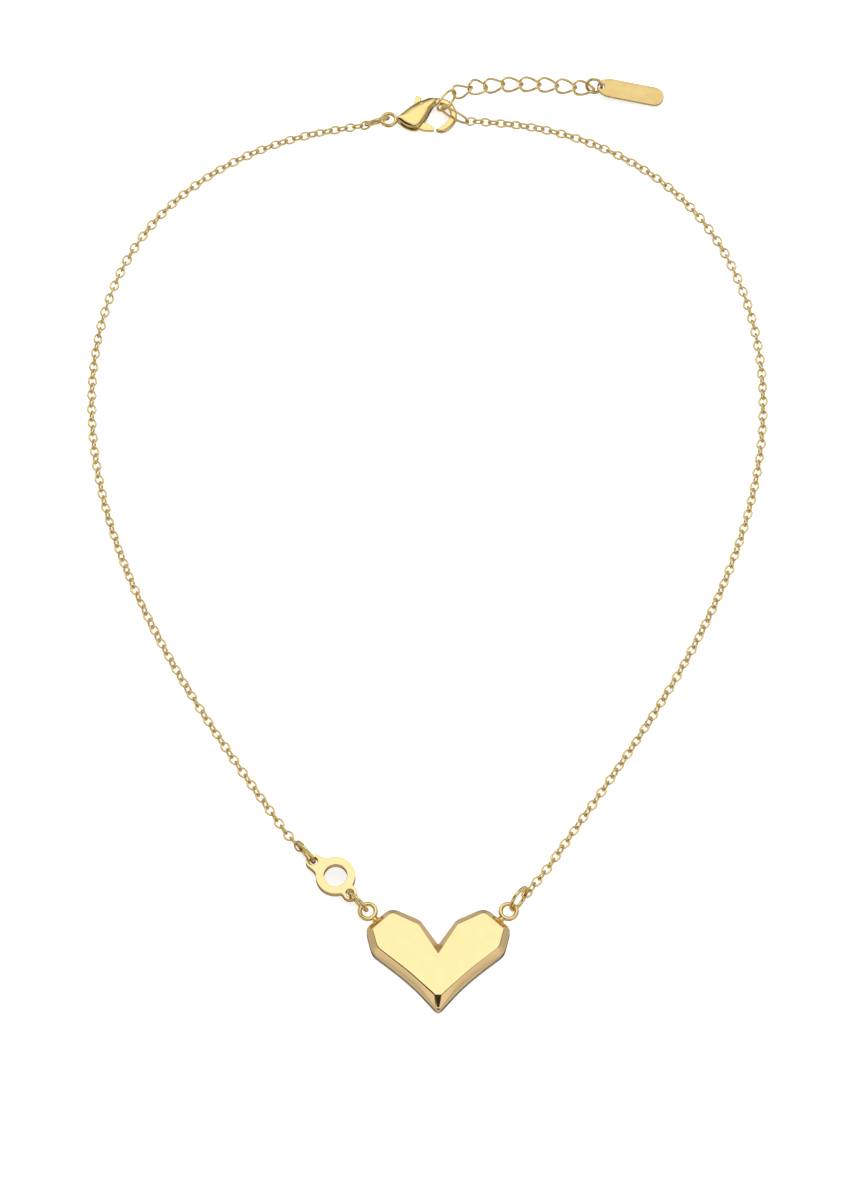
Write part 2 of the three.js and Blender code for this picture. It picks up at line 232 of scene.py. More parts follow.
def smooth_outline(pts, n):
    """Closed smooth outline through pts with n even points."""
    p = ccw(pts)
    m = len(p)
    res = []
    for i in range(m):
        a, b, c, d = p[i - 1], p[i], p[(i + 1) % m], p[(i + 2) % m]
        for k in range(8):
            t = k / 8
            res.append(
                0.5 * (2 * b + (c - a) * t + (2 * a - 5 * b + 4 * c - d) * t * t + (3 * b - a - 3 * c + d) * t**3)
            )
    res = np.array(res + [res[0]])
    L = length_of(res)
    return along(res, np.linspace(0, L, n, endpoint=False))


def at(p, z):
    return np.column_stack([p, np.full(len(p), z)])


def modifier(o, kind, **settings):
    m = o.modifiers.new(kind.lower(), kind)
    for k, v in settings.items():
        setattr(m, k, v)
    return m


def apply(o):
    dg = bpy.context.evaluated_depsgraph_get()
    me = bpy.data.meshes.new_from_object(o.evaluated_get(dg))
    o.modifiers.clear()
    old = o.data
    me.name = old.name
    o.data = me
    bpy.data.meshes.remove(old)
    return o


# --------------------------------------------------------------- materials
def gold(name, color, rough, var, scratch, grain=0.0, tint=0.05, scale=1.0):
    """Polished gold plate: fine polishing lines, faint waviness, wear haze and
    a slight change of tone. Lengths in the texture space are millimetres."""
    mat = bpy.data.materials.new(name)
    mat.use_nodes = True
    nt = mat.node_tree
    nt.nodes.clear()
    N = nt.nodes.new
    out = N("ShaderNodeOutputMaterial")
    b = N("ShaderNodeBsdfPrincipled")
    b.inputs["Metallic"].default_value = 1.0
    nt.links.new(b.outputs[0], out.inputs[0])
    tc = N("ShaderNodeTexCoord")
    mp = N("ShaderNodeMapping")
    mp.inputs["Scale"].default_value = (1000 * scale,) * 3
    nt.links.new(tc.outputs["Object"], mp.inputs["Vector"])

    # tone: the plating is a little redder and deeper in soft patches
    tone = N("ShaderNodeTexNoise")
    tone.inputs["Scale"].default_value = 0.55
    tone.inputs["Detail"].default_value = 3
    nt.links.new(mp.outputs[0], tone.inputs["Vector"])
    ramp = N("ShaderNodeValToRGB")
    ramp.color_ramp.elements[0].position = 0.3
    ramp.color_ramp.elements[1].position = 0.7
    c = np.array(color)
    ramp.color_ramp.elements[0].color = (*np.clip(c * [1 - tint * 0.6, 1 - tint, 1 - tint * 1.7], 0, 1), 1)
    ramp.color_ramp.elements[1].color = (*np.clip(c * [1 + tint * 0.4, 1 + tint * 0.5, 1 + tint * 0.6], 0, 1), 1)
    nt.links.new(tone.outputs["Fac"], ramp.inputs[0])
    nt.links.new(ramp.outputs[0], b.inputs["Base Color"])

    # roughness: wiping haze plus hairline scratches
    haze = N("ShaderNodeTexNoise")
    haze.inputs["Scale"].default_value = 1.6
    haze.inputs["Detail"].default_value = 5
    haze.inputs["Roughness"].default_value = 0.62
    nt.links.new(mp.outputs[0], haze.inputs["Vector"])
    hair_map = N("ShaderNodeMapping")
    hair_map.inputs["Rotation"].default_value = (0.2, 0.1, 0.7)
    hair_map.inputs["Scale"].default_value = (1.0, 26.0, 9.0)
    nt.links.new(mp.outputs[0], hair_map.inputs["Vector"])
    hair = N("ShaderNodeTexNoise")
    hair.inputs["Scale"].default_value = 0.8
    hair.inputs["Detail"].default_value = 4
    nt.links.new(hair_map.outputs[0], hair.inputs["Vector"])
    mix = N("ShaderNodeMath")
    mix.operation = "MULTIPLY_ADD"
    mix.inputs[1].default_value = 0.45
    nt.links.new(hair.outputs["Fac"], mix.inputs[0])
    nt.links.new(haze.outputs["Fac"], mix.inputs[2])
    mr = N("ShaderNodeMapRange")
    mr.inputs["From Min"].default_value = 0.45
    mr.inputs["From Max"].default_value = 1.0
    mr.inputs["To Min"].default_value = rough - var
    mr.inputs["To Max"].default_value = rough + var
    nt.links.new(mix.outputs[0], mr.inputs["Value"])
    nt.links.new(mr.outputs["Result"], b.inputs["Roughness"])

    # bump: hairlines over the faint waviness of hand polishing
    wave = N("ShaderNodeTexNoise")
    wave.inputs["Scale"].default_value = 0.9
    wave.inputs["Detail"].default_value = 1
    nt.links.new(mp.outputs[0], wave.inputs["Vector"])
    b1 = N("ShaderNodeBump")
    b1.inputs["Strength"].default_value = 0.25
    b1.inputs["Distance"].default_value = grain * MM
    nt.links.new(wave.outputs["Fac"], b1.inputs["Height"])
    b2 = N("ShaderNodeBump")
    b2.inputs["Strength"].default_value = 0.3
    b2.inputs["Distance"].default_value = scratch * MM
    nt.links.new(hair.outputs["Fac"], b2.inputs["Height"])
    nt.links.new(b1.outputs[0], b2.inputs["Normal"])
    nt.links.new(b2.outputs[0], b.inputs["Normal"])
    return mat


M_PALE = gold("pale_gold", (0.83, 0.60, 0.30), 0.12, 0.03, 0.0015, grain=0.012, tint=0.03)
M_GOLD = gold("wire_gold", (0.82, 0.62, 0.26), 0.13, 0.04, 0.0015, grain=0.006, tint=0.05)
M_CAST = gold("cast_gold", (0.78, 0.58, 0.24), 0.12, 0.04, 0.0012, grain=0.008, tint=0.04)
M_CHAIN = gold("chain_gold", (0.83, 0.64, 0.27), 0.15, 0.05, 0.0015, grain=0.004, tint=0.07)
M_TAG = gold("tag_gold", (0.60, 0.45, 0.19), 0.22, 0.06, 0.006, grain=0.02, tint=0.1)
# plate sides: rougher stamped edge, and a darker colour that is painted shade standing in for the dark reflected in
# the walls
M_CUT_EDGE_SHADE = gold("rough_edge_painted_shade_gold", (0.60, 0.42, 0.17), 0.24, 0.05, 0.003, grain=0.01, tint=0.08)
M_STEEL = gold("spring_steel", (0.56, 0.55, 0.53), 0.28, 0.06, 0.01, grain=0.01, tint=0.04)


def finish_piece(o, body, mat, slot, *nodes):
    o.data.materials.clear()
    o.data.materials.append(mat)
    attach(o, body)
    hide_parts(*nodes)
    return o


# ------------------------------------------------------------ cable chains
LINK_A, LINK_B, LINK_R = 0.80, 0.62, 0.15
CHAIN_D, CHAIN_Z = 1.5, 0.77
LEFT_ROUTE = [
    [-21.17, 18.9], [-22.2, 19.79], [-24.63, 23.3], [-27.22, 27.1], [-29.77, 30.92], [-32.28, 34.77], [-34.72, 38.66], [-37.09, 42.59],
    [-39.37, 46.58], [-41.55, 50.63], [-43.6, 54.74], [-45.52, 58.91], [-47.28, 63.16], [-48.86, 67.47], [-50.25, 71.85],
    [-51.41, 76.29], [-52.34, 80.79], [-53.0, 85.34], [-53.38, 89.92], [-53.46, 94.51], [-53.23, 99.1], [-52.67, 103.66],
    [-51.74, 108.15], [-50.42, 112.55], [-48.68, 116.8], [-46.49, 120.84], [-43.85, 124.59], [-40.77, 128.0], [-37.33, 131.04],
    [-33.59, 133.71], [-29.6, 135.98], [-25.4, 137.84], [-21.04, 139.29], [-16.57, 140.32], [-13.2, 140.78],
]
RIGHT_ROUTE = [
    [13.97, 11.36], [16.09, 14.51], [18.74, 18.47], [21.4, 22.43], [24.06, 26.39], [26.68, 30.37], [29.26, 34.38], [31.78, 38.43],
    [34.22, 42.53], [36.57, 46.68], [38.79, 50.9], [40.88, 55.19], [42.81, 59.55], [44.56, 63.98], [46.12, 68.49],
    [47.46, 73.06], [48.57, 77.7], [49.41, 82.39], [49.97, 87.13], [50.22, 91.89], [50.15, 96.66], [49.74, 101.4],
    [48.97, 106.11], [47.81, 110.73], [46.24, 115.23], [44.25, 119.56], [41.79, 123.65], [38.87, 127.42], [35.51, 130.79],
    [31.76, 133.73], [27.71, 136.24], [23.41, 138.3], [18.92, 139.9], [14.29, 141.02], [9.56, 141.66], [6.25, 141.92],
]


def cable_link(acc, c, f, n=30, sides=10):
    pts, out = loop_points(c, f, LINK_A, LINK_B, n=n)
    wire(acc, pts, out, LINK_R, sides)


def cable_chain(name, route, first, last, turn):
    """Interlocked oval links from one end link to the other. The links lie
    flat and on edge by turns, and each end link keeps its CAD place."""
    c0, f0 = np.array(first[0]), frame_of(*first[1:])
    c1, f1 = np.array(last[0]), frame_of(*last[1:])
    mid = [[x, y, CHAIN_Z] for x, y in route[1:-1]]
    path = catmull([c0, *mid, c1], 24)
    L = length_of(path)
    n = int(round(L / 1.235))
    n += n % 2
    s = np.linspace(0, L, n + 1)
    centres = along(path, s)
    acc = Acc()
    for i in range(n + 1):
        if i == 0:
            c, f = c0, f0
        elif i == n:
            c, f = c1, f1
        else:
            d = centres[i + 1] - centres[i - 1]
            # the chain lies turned on its side by some 25 degrees along its sides
            base = (0.0 if i % 2 == 0 else 90.0) + turn * float(np.interp(i / n, [0, 0.08, 0.2, 0.62, 0.78, 1], [0.3, 0.6, 1, 1, 0.1, 0]))
            near = min(i, n - i)
            lead = first[2] if i < n / 2 else -last[2]
            blend = max(0.0, 1 - near / 5)
            roll = base + lead * blend + (1 - blend) * float(rng.normal(0, 5.0))
            d = unit(d)
            m = unit(np.cross([0, 0, 1.0], d))
            yaw = math.radians(float(np.clip(rng.normal(0, 2.0), -4, 4)) * (1 - blend))
            f = frame_along(d * math.cos(yaw) + m * math.sin(yaw), roll)
            c = centres[i]
        cable_link(acc, c, f)
    o = acc.obj(name)
    start = c0 - f0[0] * LINK_A if np.dot(f0[0], centres[1] - c0) > 0 else c0 + f0[0] * LINK_A
    end = c1 + f1[0] * LINK_A if np.dot(f1[0], c1 - centres[-2]) > 0 else c1 - f1[0] * LINK_A
    line = np.vstack([start, along(path, np.linspace(0, L, 4 * 36)), end])
    return o, line, L / n


left, left_line, left_pitch = cable_chain(
    "chain_left_links", LEFT_ROUTE,
    ((-20.455, 17.807, 1.122), (-0.509, 0.859), -15.8, 3.4),
    ((-11.489, 141.032, 1.15), (-0.944, -0.299), -7.8, -11.2),
    24,
)
right, right_line, right_pitch = cable_chain(
    "chain_right_links", RIGHT_ROUTE,
    ((13.011, 10.408, 1.109), (0.738, 0.673), -10.9, -7.7),
    ((5.2547, 141.4544, 1.6461), (0.9365, 0.3507), 7.7, 0),
    -22,
)
print("link pitch", left_pitch, right_pitch, "lengths", length_of(left_line), length_of(right_line))
finish_piece(left, "chains", M_CHAIN, "chain_gold", "chain_left", "chain_left_lower_link", "chain_left_upper_link")
finish_piece(right, "chains", M_CHAIN, "chain_gold", "chain_right", "chain_right_lower_link", "chain_right_upper_link")


# ------------------------------------------------------------------- heart
FACE = [
    [0, 0.4], [2.92, 5.05], [6.75, 6.88], [9.59, 4.28], [8.9, 1.68], [8.65, 1.28], [6.6, -0.42], [4.55, -2.08], [2.5, -4.0], [0.52, -5.82],
]
RIM = [
    [0, 2.14], [2.62, 5.95], [6.9, 7.92], [10.6, 4.6], [9.78, 1.31], [9.36, 0.6], [7.2, -1.1], [5.15, -2.78], [3.05, -4.75], [0.3, -7.92],
]
FACE_ROUND = [0.12, 0.18, 0.5, 0.35, 0.25, 0.3, 1.2, 1.2, 1.2, 0.06]
RIM_ROUND = [0.25, 0.5, 1.3, 0.8, 0.6, 0.6, 1.2, 1.2, 1.2, 0.5]
# length of the soft edge between bevel and wall, from crisp to blended
EDGE_SOFT = [0.1, 0.12, 0.16, 0.16, 0.14, 0.16, 0.32, 0.5, 0.6, 0.5]
HEART_WALL, HEART_THICK = 1.85, 2.75


def mirrored(half):
    return [[x, y] for x, y in reversed(half)] + [[-x, y] for x, y in half[1:]]


def rounded(pts, radii, nc=7, ne=5):
    """Outline with its corners rounded, and the corner index of each point."""
    p = np.asarray(pts, float)
    m = len(p)
    arcs = []
    for i in range(m):
        a, b, c = p[i - 1], p[i], p[(i + 1) % m]
        la, lc = np.linalg.norm(a - b), np.linalg.norm(c - b)
        ra, rc = min(radii[i], 0.46 * la), min(radii[i], 0.46 * lc)
        A, C = b + (a - b) / la * ra, b + (c - b) / lc * rc
        arcs.append([(1 - t) ** 2 * A + 2 * t * (1 - t) * b + t * t * C for t in np.linspace(0, 1, nc)])
    res, key = [], []
    for i in range(m):
        res += arcs[i]
        key += [float(i)] * nc
        nxt = arcs[(i + 1) % m][0]
        for k in range(1, ne):
            res.append(arcs[i][-1] + (nxt - arcs[i][-1]) * k / ne)
            key.append(i + k / ne)
    return np.array(res), np.array(key)


def bezier(a, b, c, n):
    t = np.linspace(0, 1, n)[:, None, None]
    return (1 - t) ** 2 * a + 2 * t * (1 - t) * b + t * t * c


def heart():
    # anticlockwise from the tip on one side round to the tip on the other
    rim, key = rounded(mirrored(RIM), RIM_ROUND[::-1] + RIM_ROUND[1:])
    face, _ = rounded(mirrored(FACE), FACE_ROUND[::-1] + FACE_ROUND[1:])
    soft_at = np.array(EDGE_SOFT[::-1] + EDGE_SOFT[1:] + EDGE_SOFT[-1:])
    soft = np.interp(key, np.arange(len(soft_at)), soft_at)[:, None]
    foot = np.column_stack([rim[:, 0] * 0.965, rim[:, 1] * 0.965 + 0.03])
    P0, P1 = at(foot, 0.0), at(rim, 0.3)
    P2, P3 = at(rim, HEART_WALL), at(face, HEART_THICK)
    inner = face + (np.array([0, -0.6]) - face) * 0.08
    P4 = at(inner, HEART_THICK)

    def step(a, b, d):
        v = b - a
        l = np.linalg.norm(v, axis=1)[:, None]
        return a + v * np.minimum(d / l, 0.48)

    acc = Acc()
    rings = [acc.ring(P0)]
    for p in bezier(step(P1, P0, 0.12), P1, step(P1, P2, 0.12), 4):
        rings.append(acc.ring(p))
    for p in bezier(step(P2, P1, soft), P2, step(P2, P3, soft * 0.9), 8):
        rings.append(acc.ring(p))
    for p in bezier(step(P3, P2, 0.2), P3, step(P3, P4, 0.22), 9):
        rings.append(acc.ring(p))
    for a, b in zip(rings, rings[1:]):
        acc.bridge(a, b)
    acc.cap(rings[-1])
    acc.cap(rings[0], flip=True)
    o = acc.obj("heart")
    modifier(o, "WEIGHTED_NORMAL", mode="FACE_AREA", weight=100, keep_sharp=True)
    return apply(o)


finish_piece(heart(), "heart", M_PALE, "mirror_gold", "heart_body")


def heart_loop(side):
    """Soldered wire loop with the fillet of solder that joins it to the heart."""
    c = np.array([side * 10.3, 7.4, 1.6])
    acc = Acc()
    pts, out = loop_points(c, frame_of([1, 0], 0), 1.17, 1.17, n=72)
    wire(acc, pts, out, 0.325, 18)
    slant = unit([10.6 - 6.9, 4.6 - 7.92])
    normal = np.array([-slant[1], slant[0]])
    reach = (10.3 - 6.9) * normal[0] + (7.4 - 7.92) * normal[1]
    base = np.array([10.3, 7.4]) - normal * reach
    stub = Acc()
    rows = []
    for s, w, h in ((0.0, 0.62, 0.42), (0.1, 0.55, 0.38), (0.28, 0.47, 0.33), (reach - 1.17 + 0.06, 0.45, 0.31)):
        q = 2 * math.pi * np.arange(24) / 24
        ring = []
        for k in q:
            p = base + normal * s + slant * w * math.cos(k)
            ring.append([side * p[0], p[1], 1.6 + h * math.sin(k)])
        rows.append(acc.ring(ring))
    for a, b in zip(rows, rows[1:]):
        acc.bridge(a, b) if side > 0 else acc.bridge(b, a)
    acc.cap(rows[0], flip=side > 0)
    acc.cap(rows[-1], flip=side < 0)
    return acc.obj("heart_loop_right_wire" if side > 0 else "heart_loop_left_wire")


finish_piece(heart_loop(-1), "heart", M_GOLD, "wire_gold", "heart_loop_left")
finish_piece(heart_loop(1), "heart", M_GOLD, "wire_gold", "heart_loop_right")


# -------------------------------------------------------------- jump rings
def jump_ring(name, c, u, lean, cut, body, node):
    """Round wire ring, cut once, its two ends butted with a hairline gap."""
    acc = Acc()
    pts, out = loop_points(c, frame_leaning(u, lean), 1.85, 1.85, n=96, start=math.radians(cut), gap=0.022)
    r = np.full(96, 0.28)
    r[[0, -1]] = 0.262
    wire(acc, pts, out, r, 20, closed=False)
    return finish_piece(acc.obj(name), body, M_GOLD, "wire_gold", node)


jump_ring("jump_ring_connector_heart", (-11.75, 8.8, 2.14), (2.63, -2.71), -8, 68, "connector_to_heart_ring", "connector_to_heart_ring")
jump_ring("jump_ring_chain_connector", (-19.45, 16.46, 2.14), (-0.651, 0.759), 5, 105, "chain_to_connector_ring", "chain_to_connector_ring")
jump_ring("jump_ring_heart_chain", (11.8, 9.17, 2.14), (0.61, 0.79), 8, 78, "heart_to_chain_ring", "heart_to_chain_ring")
jump_ring("jump_ring_chain_clasp", (-9.62, 141.3, 1.98), (0.945, 0.326), -24, 84, "chain_to_clasp_ring", "chain_to_clasp_ring")


# --------------------------------------------------------------- connector
def edge_profile(z0, z1, e, n=5):
    """(inset, height) pairs up the side of a plate with rounded edges."""
    q = np.linspace(0, math.pi / 2, n)
    low = [(e * (1 - math.sin(a)), z0 + e * (1 - math.cos(a))) for a in q]
    high = [(e * (1 - math.cos(a)), z1 - e * (1 - math.sin(a))) for a in q]
    return low + high


def plate(name, outline, holes, z0, z1, e):
    """Flat plate with rounded edges. Each hole is (x, y, r)."""
    acc = Acc()
    p = ccw(outline)
    nrm = normals_2d(p)
    rows = [acc.ring(at(p - nrm * d, z)) for d, z in edge_profile(z0, z1, e)]
    for a, b in zip(rows, rows[1:]):
        acc.bridge(a, b)
    tops, lows = [rows[-1]], [rows[0]]
    for x, y, r in holes:
        n = 96 if r > 1 else 56
        q = 2 * math.pi * np.arange(n) / n
        hr = []
        for d, z in edge_profile(z0, z1, e * 0.8):
            hr.append(acc.ring([[x + (r + d) * math.cos(k), y + (r + d) * math.sin(k), z] for k in q]))
        for a, b in zip(hr, hr[1:]):
            acc.bridge(b, a)
        tops.append(hr[-1])
        lows.append(hr[0])
    acc.cap_holes(tops)
    acc.cap_holes(lows, flip=True)
    o = acc.obj(name)
    modifier(o, "WEIGHTED_NORMAL", mode="FACE_AREA", weight=100, keep_sharp=True)
    return apply(o)


def cut_edge_painted_shade(o):
    """The stamped sides of a plate are less polished than its faces, and are painted a darker gold as painted shade
    for the dark they reflect.
    """
    o.data.materials.append(M_CUT_EDGE_SHADE)
    for f in o.data.polygons:
        # steep faces (the walls) get the darker painted-shade gold
        f.material_index = 1 if abs(f.normal.z) < 0.55 else 0
    return o


def smin(a, b, k):
    h = np.maximum(k - np.abs(a - b), 0) / k
    return np.minimum(a, b) - h * h * k / 4


def connector_outline():
    c = np.array([-15.05, 12.84])
    up, low = np.array([-18.3, 15.12]), np.array([-12.93, 10.11])

    def sdf(p):
        d = np.linalg.norm(p - c, axis=-1) - 2.92
        a = np.linalg.norm(p - up, axis=-1) - 1.08
        b = np.linalg.norm(p - low, axis=-1) - 1.08
        t = np.clip(((p - up) @ (c - up)) / ((c - up) @ (c - up)), 0, 1)
        neck = np.linalg.norm(p - up - t[..., None] * (c - up), axis=-1) - (1.1 + 0.7 * t)
        return smin(smin(smin(d, a, 0.25), neck, 0.3), b, 0.45)

    n = 1440
    ang = 2 * math.pi * np.arange(n) / n
    r = np.linspace(5.4, 2.4, 1501)
    pts = c + r[None, :, None] * np.stack([np.cos(ang), np.sin(ang)], 1)[:, None, :]
    inside = sdf(pts) < 0
    first = inside.argmax(1)
    rad = r[first]
    p = c + rad[:, None] * np.stack([np.cos(ang), np.sin(ang)], 1)
    p = np.vstack([p, p[:1]])
    L = length_of(p)
    q = along(p, np.linspace(0, L, 260, endpoint=False))
    for _ in range(3):
        q = 0.5 * q + 0.25 * (np.roll(q, 1, 0) + np.roll(q, -1, 0))
    return q


cut_edge_painted_shade(finish_piece(
    plate("connector", connector_outline(), [(-15.05, 12.84, 1.72), (-18.3, 15.12, 0.62), (-12.93, 10.11, 0.6)], 1.0, 2.15, 0.09),
    "connector", M_PALE, "mirror_gold", "connector_plate",
))


# ------------------------------------------------------------------- clasp
CLASP_Z = 1.2
SHELL = [
    [-6.45, 141.85], [-5.99, 141.4], [-5.28, 140.78], [-4.4, 140.35], [-3.55, 140.25], [-2.9, 140.52], [-2.4, 141.2], [-1.85, 142.1],
    [-1.35, 143.2], [-1.0, 143.95], [-0.5, 144.75], [-0.35, 145.2], [-0.6, 145.7], [-1.43, 145.68], [-2.18, 145.33], [-2.96, 145.02], [-3.72, 144.55],
    [-4.47, 144.0], [-5.36, 143.2], [-6.1, 142.5], [-6.48, 142.2],
]
HOOK = [
    [-1.4, 144.35], [-1.4, 145.86], [-0.74, 145.95], [0.533, 145.843], [1.33, 145.658], [2.0, 145.268], [2.445, 144.73], [2.762, 144.119],
    [3.0, 143.452], [3.062, 142.805], [2.965, 141.973], [2.677, 141.235], [2.071, 140.405], [1.243, 139.778], [0.48, 139.594],
    [-0.235, 139.815], [-0.235, 140.146], [0.624, 140.626], [1.35, 141.35], [1.88, 142.1], [2.0, 142.5], [2.04, 143.0], [1.98, 143.4],
    [1.8, 143.85], [1.55, 144.25], [1.12, 144.6], [0.62, 144.77], [0.1, 144.8], [-0.7, 144.62],
]
SLOT = [
    [-5.95, 139.0], [-1.6, 139.0], [-1.7, 142.6], [-2.45, 142.8], [-2.4, 144.4], [-2.25, 147.0], [-5.9, 147.0], [-5.9, 143.0],
]
LEVER = [
    [-5.35, 141.62], [-4.95, 141.2], [-4.35, 141.02], [-3.6, 140.75], [-2.95, 140.3], [-2.17, 139.95], [-0.75, 139.85], [-0.6, 140.15],
    [-0.7, 140.45], [-1.22, 140.85], [-2.03, 141.25], [-2.9, 141.75], [-3.2, 142.4], [-3.15, 143.5], [-2.85, 144.8], [-2.65, 145.9],
    [-2.8, 146.3], [-3.2, 146.35], [-3.55, 146.0], [-3.75, 145.0], [-4.05, 143.6], [-4.55, 142.5], [-5.2, 141.95],
]
PIN = (-4.35, 141.6)


def prism(outline, z0, z1, name):
    acc = Acc()
    p = ccw(outline)
    a, b = acc.ring(at(p, z0)), acc.ring(at(p, z1))
    acc.bridge(a, b)
    acc.cap(b)
    acc.cap(a, flip=True)
    return acc.obj(name)


def pillow(acc, outline, centre, z, edge, top, steps=10, full=1.0):
    """Closed form with a domed front and back, scaled towards its centre."""
    p = ccw(outline)
    c = np.asarray(centre, float)
    rows = []
    for q in np.linspace(math.pi / 2, 0.12, steps):
        s = math.sin(q)
        h = edge + (top - edge) * math.cos(q) ** full
        rows.append((s, h))
    up = [acc.ring(at(c + (p - c) * s, z + h)) for s, h in rows]
    dn = [acc.ring(at(c + (p - c) * s, z - h)) for s, h in rows]
    acc.bridge(dn[0], up[0])
    for a, b in zip(up, up[1:]):
        acc.bridge(a, b)
    for a, b in zip(dn, dn[1:]):
        acc.bridge(b, a)
    acc.cap(up[-1])
    acc.cap(dn[-1], flip=True)


def soft_slab(acc, outline, z, half, e, steps=5, n=120):
    """Slab whose sides are rounded over with radius e."""
    p = smooth_outline(outline, n)
    nrm = normals_2d(p)
    rows = []
    for q in np.linspace(0, math.pi / 2, steps):
        rows.append((e * (1 - math.cos(q)), half - e * (1 - math.sin(q))))
    up = [acc.ring(at(p - nrm * d, z + h)) for d, h in rows]
    dn = [acc.ring(at(p - nrm * d, z - h)) for d, h in rows]
    acc.bridge(dn[0], up[0])
    for a, b in zip(up, up[1:]):
        acc.bridge(a, b)
    for a, b in zip(dn, dn[1:]):
        acc.bridge(b, a)
    acc.cap(up[-1])
    acc.cap(dn[-1], flip=True)


def clasp():
    acc = Acc()
    pillow(acc, smooth_outline(SHELL, 150), (-3.3, 142.6), CLASP_Z, 0.62, 1.1)
    shell = acc.obj("shell")
    # the casting tapers from the shell into the root of the hook
    root = Acc()
    rows = []
    for k in np.linspace(0, 1, 9):
        c = np.array([-2.7 + 3.4 * k, 144.5 + 0.78 * math.sin(k * math.pi / 2)])
        d = unit([3.4, 0.78 * math.pi / 2 * math.cos(k * math.pi / 2)])
        m = np.array([-d[1], d[0]])
        w, h = 0.72 - 0.18 * k, 0.98 - 0.5 * k * k * (3 - 2 * k)
        q = 2 * math.pi * np.arange(28) / 28
        rows.append(root.ring([[*(c + m * w * math.cos(a)), CLASP_Z + h * math.sin(a)] for a in q]))
    for a, b in zip(rows, rows[1:]):
        root.bridge(a, b)
    root.cap(rows[0], flip=True)
    root.cap(rows[-1])
    neck = root.obj("neck")
    modifier(shell, "BOOLEAN", operation="UNION", solver="EXACT", object=neck)
    apply(shell)
    bpy.data.objects.remove(neck)
    q = 2 * math.pi * np.arange(40) / 40
    cutters = [
        prism(SLOT, CLASP_Z - 0.37, CLASP_Z + 0.37, "slot"),
        prism([[PIN[0] + 0.28 * math.cos(a), PIN[1] + 0.28 * math.sin(a)] for a in q], 0.42, 1.98, "bore"),
    ]
    for c in cutters:
        modifier(shell, "BOOLEAN", operation="DIFFERENCE", solver="EXACT", object=c)
        apply(shell)
        bpy.data.objects.remove(c)
    rest = Acc()
    soft_slab(rest, HOOK, CLASP_Z, 0.5, 0.4, n=160)
    pts, out = loop_points((-7.78, 142.03, CLASP_Z), frame_of([1, 0], 0), 1.12, 1.12, n=72)
    wire(rest, pts, out, 0.29, 18)
    hook = rest.obj("hook")
    bpy.ops.object.select_all(action="DESELECT")
    shell.select_set(True)
    hook.select_set(True)
    bpy.context.view_layer.objects.active = shell
    bpy.ops.object.join()
    modifier(shell, "REMESH", mode="VOXEL", voxel_size=0.062 * MM, use_smooth_shade=True)
    modifier(shell, "SMOOTH", factor=0.5, iterations=16)
    apply(shell)
    shell.name = "clasp_casting"
    shell.data.name = "clasp_casting"
    shell.data.polygons.foreach_set("use_smooth", [True] * len(shell.data.polygons))
    return shell


finish_piece(clasp(), "clasp", M_CAST, "wire_gold", "clasp_body")


def lever():
    acc = Acc()
    soft_slab(acc, LEVER, CLASP_Z, 0.3, 0.1, n=150)
    o = acc.obj("lever_blade")
    q = 2 * math.pi * np.arange(40) / 40
    bore = prism([[PIN[0] + 0.29 * math.cos(a), PIN[1] + 0.29 * math.sin(a)] for a in q], -1, 4, "bore")
    modifier(o, "BOOLEAN", operation="DIFFERENCE", solver="EXACT", object=bore)
    apply(o)
    bpy.data.objects.remove(bore)
    o.data.polygons.foreach_set("use_smooth", [True] * len(o.data.polygons))
    modifier(o, "WEIGHTED_NORMAL", mode="FACE_AREA", weight=100, keep_sharp=True)
    return apply(o)


finish_piece(lever(), "lever", M_CAST, "wire_gold", "clasp_lever")


def pin():
    """Pin across the slot, its ends buried in the casting."""
    acc = Acc()
    q = 2 * math.pi * np.arange(32) / 32
    prof = [(0.05, 0.45), (0.21, 0.45), (0.25, 0.49), (0.25, 1.91), (0.21, 1.95), (0.05, 1.95)]
    rows = [acc.ring([[PIN[0] + r * math.cos(a), PIN[1] + r * math.sin(a), z] for a in q]) for r, z in prof]
    for a, b in zip(rows, rows[1:]):
        acc.bridge(a, b)
    acc.cap(rows[0], flip=True)
    acc.cap(rows[-1])
    return acc.obj("clasp_rivet")


finish_piece(pin(), "clasp", M_CAST, "wire_gold", "clasp_pin")


def spring():
    """Hairpin of flat spring strip behind the lever."""
    acc = Acc()
    mid = catmull([[-5.52, 141.92, CLASP_Z], [-5.35, 142.3, CLASP_Z], [-5.2, 142.65, CLASP_Z], [-5.05, 143.0, CLASP_Z], [-4.94, 143.3, CLASP_Z]], 6)
    out = [np.array([0.9, -0.42, 0])] * len(mid)
    wire(acc, mid, out, 0.05, 12, closed=False, flat=2.1)
    return acc.obj("lever_spring")


finish_piece(spring(), "clasp", M_STEEL, "spring_steel", "clasp_spring")


# --------------------------------------------------------------- extender
CURB_A, CURB_B, CURB_H, CURB_R = 1.64, 1.15, 0.5, 0.19


def loop_piece(name, c, f, a, b, r, body, node, h=0.0, taper=0.0, n=80, sides=16):
    acc = Acc()
    pts, out = loop_points(c, f, a, b, h=h, taper=taper, n=n)
    wire(acc, pts, out, r, sides)
    return finish_piece(acc.obj(name), body, M_GOLD, "wire_gold", node)


